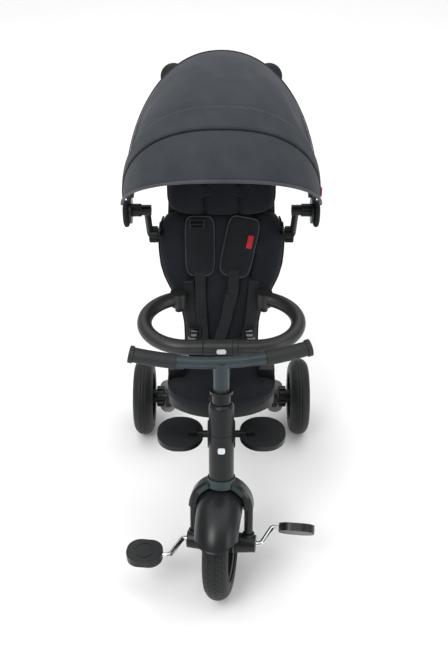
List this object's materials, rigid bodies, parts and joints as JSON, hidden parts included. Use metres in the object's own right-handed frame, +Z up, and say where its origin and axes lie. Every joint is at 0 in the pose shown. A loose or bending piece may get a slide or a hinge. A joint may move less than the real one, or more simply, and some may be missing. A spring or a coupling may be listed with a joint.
{
  "type": "children's tricycle",
  "caption": "Children's push tricycle with pedal front wheel, swivelling padded seat, harness, bumper bar, folding canopy, footrests and telescopic parent handle.",
  "frame": {"origin": "On the ground, under the middle of the tricycle's bounding box", "axes": "+Z up; the front wheel points to -Y and the push handle stands at +Y; +X is to the right of someone who faces the front of the tricycle"},
  "size_m": [0.46, 0.8807, 1.062],
  "materials": {
    "black_paint": "satin powder coat",
    "grey_paint": "satin powder coat",
    "gunmetal_paint": "satin metallic paint",
    "steel": "bright",
    "chrome": "polished",
    "black_plastic": "fine moulded texture",
    "grip_rubber": "textured",
    "tyre_rubber": "matt with tread",
    "grey_plastic": "satin",
    "white_plastic": "satin",
    "bumper_cover": "fine grain leatherette",
    "seat_fabric": "woven",
    "webbing": "woven webbing",
    "canopy_fabric": "woven"
  },
  "bodies": {
    "frame": {"main_tube": "black_paint", "rear_beam": "grey_paint", "rear_axle": "steel", "axle_sleeves": "black_plastic", "head_housing": "black_plastic", "head_bearings": "steel", "seat_post": "black_paint", "handle_socket": "black_plastic", "handle_outer_tube": "black_paint"},
    "steering": {"fork": "black_paint", "crown_band": "gunmetal_paint", "steerer_tube": "steel", "mudguard": "black_plastic", "fork_end_covers": "black_plastic"},
    "front_wheel": {"front_tyre": "tyre_rubber", "front_rim": "black_plastic"},
    "crank": {"crankshaft": "chrome"},
    "pedal_left": {"pedal_left": "black_plastic"},
    "pedal_right": {"pedal_right": "black_plastic"},
    "handlebar": {"handlebar_tube": "gunmetal_paint", "handlebar_stem": "gunmetal_paint", "stem_sleeve": "black_plastic", "grip_left": "grip_rubber", "grip_right": "grip_rubber"},
    "steering_button": {"steering_button": "white_plastic"},
    "rear_wheel_left": {"rear_tyre_left": "tyre_rubber", "rear_rim_left": "black_plastic", "hub_knob_left": "black_plastic"},
    "rear_wheel_right": {"rear_tyre_right": "tyre_rubber", "rear_rim_right": "black_plastic", "hub_knob_right": "black_plastic"},
    "brake_pedal_left": {"brake_pedal_left": "grey_plastic"},
    "brake_pedal_right": {"brake_pedal_right": "grey_plastic"},
    "footrest_left": {"footrest_left": "black_plastic"},
    "footrest_right": {"footrest_right": "black_plastic"},
    "seat": {"swivel_plate": "black_plastic", "seat_shell": "black_plastic", "seat_pad": "seat_fabric", "crotch_strap": "webbing", "buckle": "black_plastic"},
    "buckle_button": {"buckle_button": "black_plastic"},
    "swivel_lever": {"swivel_lever": "black_plastic"},
    "backrest": {"bumper_brackets": "black_plastic", "backrest_shell": "black_plastic", "back_pad": "seat_fabric", "headrest_pad": "seat_fabric", "shoulder_pads": "seat_fabric", "shoulder_straps": "webbing"},
    "bumper_left": {"bumper_left": "bumper_cover"},
    "bumper_right": {"bumper_right": "bumper_cover"},
    "bumper_button": {"bumper_button": "white_plastic"},
    "canopy_links": {"canopy_links": "black_plastic"},
    "canopy_rear": {"rear_bow": "black_plastic", "canopy_rear": "canopy_fabric"},
    "canopy_front": {"front_bow": "black_plastic", "canopy_front": "canopy_fabric"},
    "push_handle": {"handle_inner_tube": "black_paint", "handle_loop": "grip_rubber"},
    "handle_button": {"handle_button": "grey_plastic"}
  },
  "joints": [
    {"name": "fork_steer", "type": "hinge", "parent": "frame", "child": "steering", "pos_m": [0, -0.31578, 0.125], "axis": [0, 0.2756, 0.9613], "range_deg": [-27, 43]},
    {"name": "handlebar_turn", "type": "hinge", "parent": "frame", "child": "handlebar", "pos_m": [0, -0.31578, 0.125], "axis": [0, 0.2756, 0.9613], "range_deg": [-26, 14]},
    {"name": "front_wheel_spin", "type": "hinge", "parent": "steering", "child": "front_wheel", "pos_m": [0, -0.31578, 0.125], "axis": [0.9903, -0.1338, 0.0384], "continuous": true},
    {"name": "crank_turn", "type": "hinge", "parent": "steering", "child": "crank", "pos_m": [0, -0.31578, 0.125], "axis": [0.9903, -0.1338, 0.0384], "continuous": true},
    {"name": "pedal_left_spin", "type": "hinge", "parent": "crank", "child": "pedal_left", "pos_m": [-0.16837, -0.34551, 0.11861], "axis": [0.9903, -0.1338, 0.0384], "continuous": true},
    {"name": "pedal_right_spin", "type": "hinge", "parent": "crank", "child": "pedal_right", "pos_m": [0.16837, -0.28606, 0.13139], "axis": [0.9903, -0.1338, 0.0384], "continuous": true},
    {"name": "steering_button_press", "type": "slide", "parent": "frame", "child": "steering_button", "axis": [0, 0.9613, -0.2756], "range_m": [0, 0.003], "stiffness_N_per_m": 400, "springref_m": -0.001},
    {"name": "rear_wheel_left_spin", "type": "hinge", "parent": "frame", "child": "rear_wheel_left", "pos_m": [-0.207, 0.22422, 0.1], "axis": [1, 0, 0], "continuous": true},
    {"name": "rear_wheel_right_spin", "type": "hinge", "parent": "frame", "child": "rear_wheel_right", "pos_m": [0.207, 0.22422, 0.1], "axis": [1, 0, 0], "continuous": true},
    {"name": "brake_pedal_left_press", "type": "hinge", "parent": "frame", "child": "brake_pedal_left", "pos_m": [-0.127, 0.22422, 0.1], "axis": [-1, 0, 0], "range_deg": [0, 15]},
    {"name": "brake_pedal_right_press", "type": "hinge", "parent": "frame", "child": "brake_pedal_right", "pos_m": [0.127, 0.22422, 0.1], "axis": [-1, 0, 0], "range_deg": [0, 15]},
    {"name": "footrest_left_fold", "type": "hinge", "parent": "frame", "child": "footrest_left", "pos_m": [-0.036, -0.20212, 0.34], "axis": [1, 0, 0], "range_deg": [0, 90]},
    {"name": "footrest_right_fold", "type": "hinge", "parent": "frame", "child": "footrest_right", "pos_m": [0.036, -0.20212, 0.34], "axis": [1, 0, 0], "range_deg": [0, 90]},
    {"name": "seat_swivel", "type": "hinge", "parent": "frame", "child": "seat", "pos_m": [0, 0.04422, 0.238], "axis": [0, 0, 1], "continuous": true},
    {"name": "swivel_lever_pull", "type": "slide", "parent": "seat", "child": "swivel_lever", "axis": [0, -1, 0], "range_m": [0, 0.008], "stiffness_N_per_m": 400, "springref_m": -0.001},
    {"name": "buckle_button_press", "type": "slide", "parent": "seat", "child": "buckle_button", "axis": [0, 0.9135, 0.4067], "range_m": [0, 0.003], "stiffness_N_per_m": 400, "springref_m": -0.001},
    {"name": "backrest_recline", "type": "hinge", "parent": "seat", "child": "backrest", "pos_m": [0, 0.13022, 0.284], "axis": [-1, 0, 0], "range_deg": [0, 5]},
    {"name": "bumper_left_open", "type": "hinge", "parent": "backrest", "child": "bumper_left", "pos_m": [-0.10188, 0.11481, 0.487], "axis": [0, 0, -1], "range_deg": [0, 44]},
    {"name": "bumper_right_open", "type": "hinge", "parent": "backrest", "child": "bumper_right", "pos_m": [0.10188, 0.11481, 0.487], "axis": [0, 0, 1], "range_deg": [0, 44]},
    {"name": "bumper_button_press", "type": "slide", "parent": "bumper_right", "child": "bumper_button", "axis": [0, 1, 0], "range_m": [0, 0.003], "stiffness_N_per_m": 400, "springref_m": -0.001},
    {"name": "canopy_lean", "type": "hinge", "parent": "backrest", "child": "canopy_links", "pos_m": [0.156, 0.14838, 0.64156], "axis": [1, 0, 0], "range_deg": [0, 25]},
    {"name": "canopy_tilt", "type": "hinge", "parent": "canopy_links", "child": "canopy_rear", "pos_m": [0.174, 0.11422, 0.722], "axis": [1, 0, 0], "range_deg": [-12, 20]},
    {"name": "canopy_fold", "type": "hinge", "parent": "canopy_rear", "child": "canopy_front", "pos_m": [0.174, 0.11422, 0.722], "axis": [-1, 0, 0], "range_deg": [0, 33]},
    {"name": "push_handle_extend", "type": "slide", "parent": "frame", "child": "push_handle", "axis": [0, 0.2164, 0.9763], "range_m": [-0.03, 0.1]},
    {"name": "handle_button_press", "type": "slide", "parent": "frame", "child": "handle_button", "axis": [0, -0.9763, 0.2164], "range_m": [0, 0.002], "stiffness_N_per_m": 400, "springref_m": -0.001}
  ],
  "couplings": [
    {"joint": "crank_turn", "follows": "front_wheel_spin", "ratio": 1}
  ]
}
